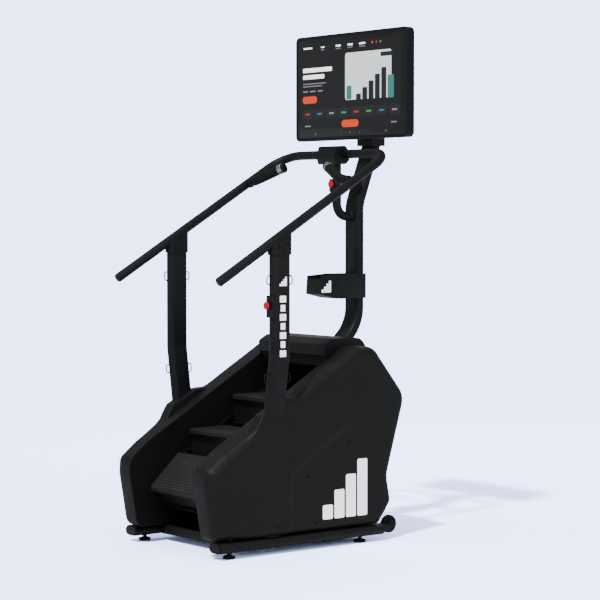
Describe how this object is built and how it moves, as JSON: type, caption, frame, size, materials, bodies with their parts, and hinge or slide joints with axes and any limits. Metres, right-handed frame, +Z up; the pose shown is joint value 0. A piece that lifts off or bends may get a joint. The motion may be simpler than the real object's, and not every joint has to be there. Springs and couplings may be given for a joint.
{
  "type": "stair climber",
  "caption": "Revolving-step stair climber: rigid steps on a chain loop between moulded covers, with side posts, a sloping handrail, a rear mast and a tilting screen.",
  "frame": {"origin": "on the floor, in the middle of the machine's overall box", "axes": "+X is the machine's right side, -Y is the side the user climbs on from, +Z is up"},
  "size_m": [0.769, 1.1442, 2.138],
  "materials": {
    "black_powder_coat": "satin black powder coat",
    "moulded_cover": "fine-textured matte black moulded plastic",
    "black_plastic": "matte black plastic",
    "rubber_foot": "matte rubber",
    "wheel_rubber": "matte hard rubber",
    "grip_rubber": "soft matte rubber",
    "bright_contact": "brushed",
    "stop_red": "satin red",
    "black_hardware": "black zinc",
    "drive_steel": "machined steel",
    "belt_rubber": "matte",
    "screen_glass": "gloss black glass front",
    "step_plastic": "fine grip texture"
  },
  "bodies": {
    "frame": {"base_frame": "black_powder_coat", "rail_end_caps": "black_plastic", "levelling_feet": "rubber_foot", "foot_lock_nuts": "black_hardware", "wheel_bolts": "black_hardware", "side_plates": "black_powder_coat", "left_side_cover": "moulded_cover", "right_side_cover": "moulded_cover", "inner_skirts": "moulded_cover", "top_hood": "moulded_cover", "hood_front_panel": "moulded_cover", "rear_panel": "moulded_cover", "small_screws": "black_hardware", "left_post": "black_powder_coat", "right_post": "black_powder_coat", "post_saddles": "black_powder_coat", "handrail": "black_powder_coat", "handrail_end_plugs": "black_plastic", "left_grip": "grip_rubber", "right_grip": "grip_rubber", "grip_contacts": "bright_contact", "grip_end_caps": "black_plastic", "crossbar_pod": "black_plastic", "mast": "black_powder_coat", "mast_brace": "black_powder_coat", "caddy_clamp": "black_plastic", "caddy_bin": "black_plastic", "stop_button_bases": "black_plastic", "band_loops": "black_hardware", "drive_motor": "drive_steel", "drive_belt": "belt_rubber", "shaft_bearings": "drive_steel", "step_chains": "drive_steel", "controller_box": "black_plastic", "power_inlet": "black_plastic", "screen_bracket": "black_powder_coat"},
    "left_transport_wheel": {"left_transport_wheel": "wheel_rubber"},
    "right_transport_wheel": {"right_transport_wheel": "wheel_rubber"},
    "brace_stop_button": {"brace_stop_button": "stop_red"},
    "post_stop_button": {"post_stop_button": "stop_red"},
    "motor_rotor": {"motor_pulley": "drive_steel"},
    "upper_drive": {"upper_shaft": "drive_steel", "large_pulley": "drive_steel"},
    "lower_drive": {"lower_shaft": "drive_steel"},
    "screen": {"screen_tilt_plate": "black_powder_coat", "screen_rear_shell": "black_plastic", "screen_bezel": "black_plastic", "screen_glass": "screen_glass"},
    "step_1": {"step_1_tread": "step_plastic", "step_1_riser": "step_plastic"},
    "step_2": {"step_2_tread": "step_plastic", "step_2_riser": "step_plastic"},
    "step_3": {"step_3_tread": "step_plastic", "step_3_riser": "step_plastic"},
    "step_4": {"step_4_tread": "step_plastic", "step_4_riser": "step_plastic"},
    "step_5": {"step_5_tread": "step_plastic", "step_5_riser": "step_plastic"},
    "step_6": {"step_6_tread": "step_plastic", "step_6_riser": "step_plastic"}
  },
  "joints": [
    {"name": "stair_drive", "type": "hinge", "parent": "frame", "child": "upper_drive", "pos_m": [0, 0.15011, 0.5266], "axis": [-1, 0, 0], "range_deg": [-136.34, 41.66]},
    {"name": "lower_shaft_turn", "type": "hinge", "parent": "frame", "child": "lower_drive", "pos_m": [0, -0.29989, 0.2646], "axis": [-1, 0, 0], "range_deg": [-136.84, 42.16]},
    {"name": "motor_turn", "type": "hinge", "parent": "frame", "child": "motor_rotor", "pos_m": [0, 0.19511, 0.159], "axis": [-1, 0, 0], "range_deg": [-478.19, 146.81]},
    {"name": "step_1_turn", "type": "hinge", "parent": "frame", "child": "step_1", "pos_m": [0, -0.29989, 0.2646], "axis": [-1, 0, 0], "range_deg": [-136.84, 42.16]},
    {"name": "step_2_travel", "type": "slide", "parent": "frame", "child": "step_2", "axis": [0, 0.8642, 0.5032], "range_m": [-0.19821, 0.06126]},
    {"name": "step_3_travel", "type": "slide", "parent": "frame", "child": "step_3", "axis": [0, 0.8642, 0.5032], "range_m": [-0.19821, 0.06126]},
    {"name": "step_4_turn", "type": "hinge", "parent": "frame", "child": "step_4", "pos_m": [0, 0.15011, 0.5266], "axis": [-1, 0, 0], "range_deg": [-136.84, 42.16]},
    {"name": "step_5_travel", "type": "slide", "parent": "frame", "child": "step_5", "axis": [0, -0.8642, -0.5032], "range_m": [-0.19821, 0.06126]},
    {"name": "step_6_travel", "type": "slide", "parent": "frame", "child": "step_6", "axis": [0, -0.8642, -0.5032], "range_m": [-0.19821, 0.06126]},
    {"name": "brace_button_press", "type": "slide", "parent": "frame", "child": "brace_stop_button", "axis": [0, 1, 0], "range_m": [0, 0.005], "stiffness_N_per_m": 400},
    {"name": "post_button_press", "type": "slide", "parent": "frame", "child": "post_stop_button", "axis": [0, 1, 0], "range_m": [0, 0.005], "stiffness_N_per_m": 400},
    {"name": "left_wheel_spin", "type": "hinge", "parent": "frame", "child": "left_transport_wheel", "pos_m": [-0.297, 0.37911, 0.062], "axis": [1, 0, 0], "continuous": true},
    {"name": "right_wheel_spin", "type": "hinge", "parent": "frame", "child": "right_transport_wheel", "pos_m": [0.297, 0.37911, 0.062], "axis": [1, 0, 0], "continuous": true},
    {"name": "screen_tilt", "type": "hinge", "parent": "frame", "child": "screen", "pos_m": [0, 0.51811, 1.865], "axis": [1, 0, 0], "range_deg": [-10, 4]}
  ],
  "couplings": [
    {"joint": "lower_shaft_turn", "follows": "stair_drive", "ratio": 1},
    {"joint": "motor_turn", "follows": "stair_drive", "ratio": 3.5},
    {"joint": "step_1_turn", "follows": "stair_drive", "ratio": 1},
    {"joint": "step_2_travel", "follows": "stair_drive", "m_per_rad": 0.082874},
    {"joint": "step_3_travel", "follows": "stair_drive", "m_per_rad": 0.082874},
    {"joint": "step_4_turn", "follows": "stair_drive", "ratio": 1},
    {"joint": "step_5_travel", "follows": "stair_drive", "m_per_rad": 0.082874},
    {"joint": "step_6_travel", "follows": "stair_drive", "m_per_rad": 0.082874}
  ]
}
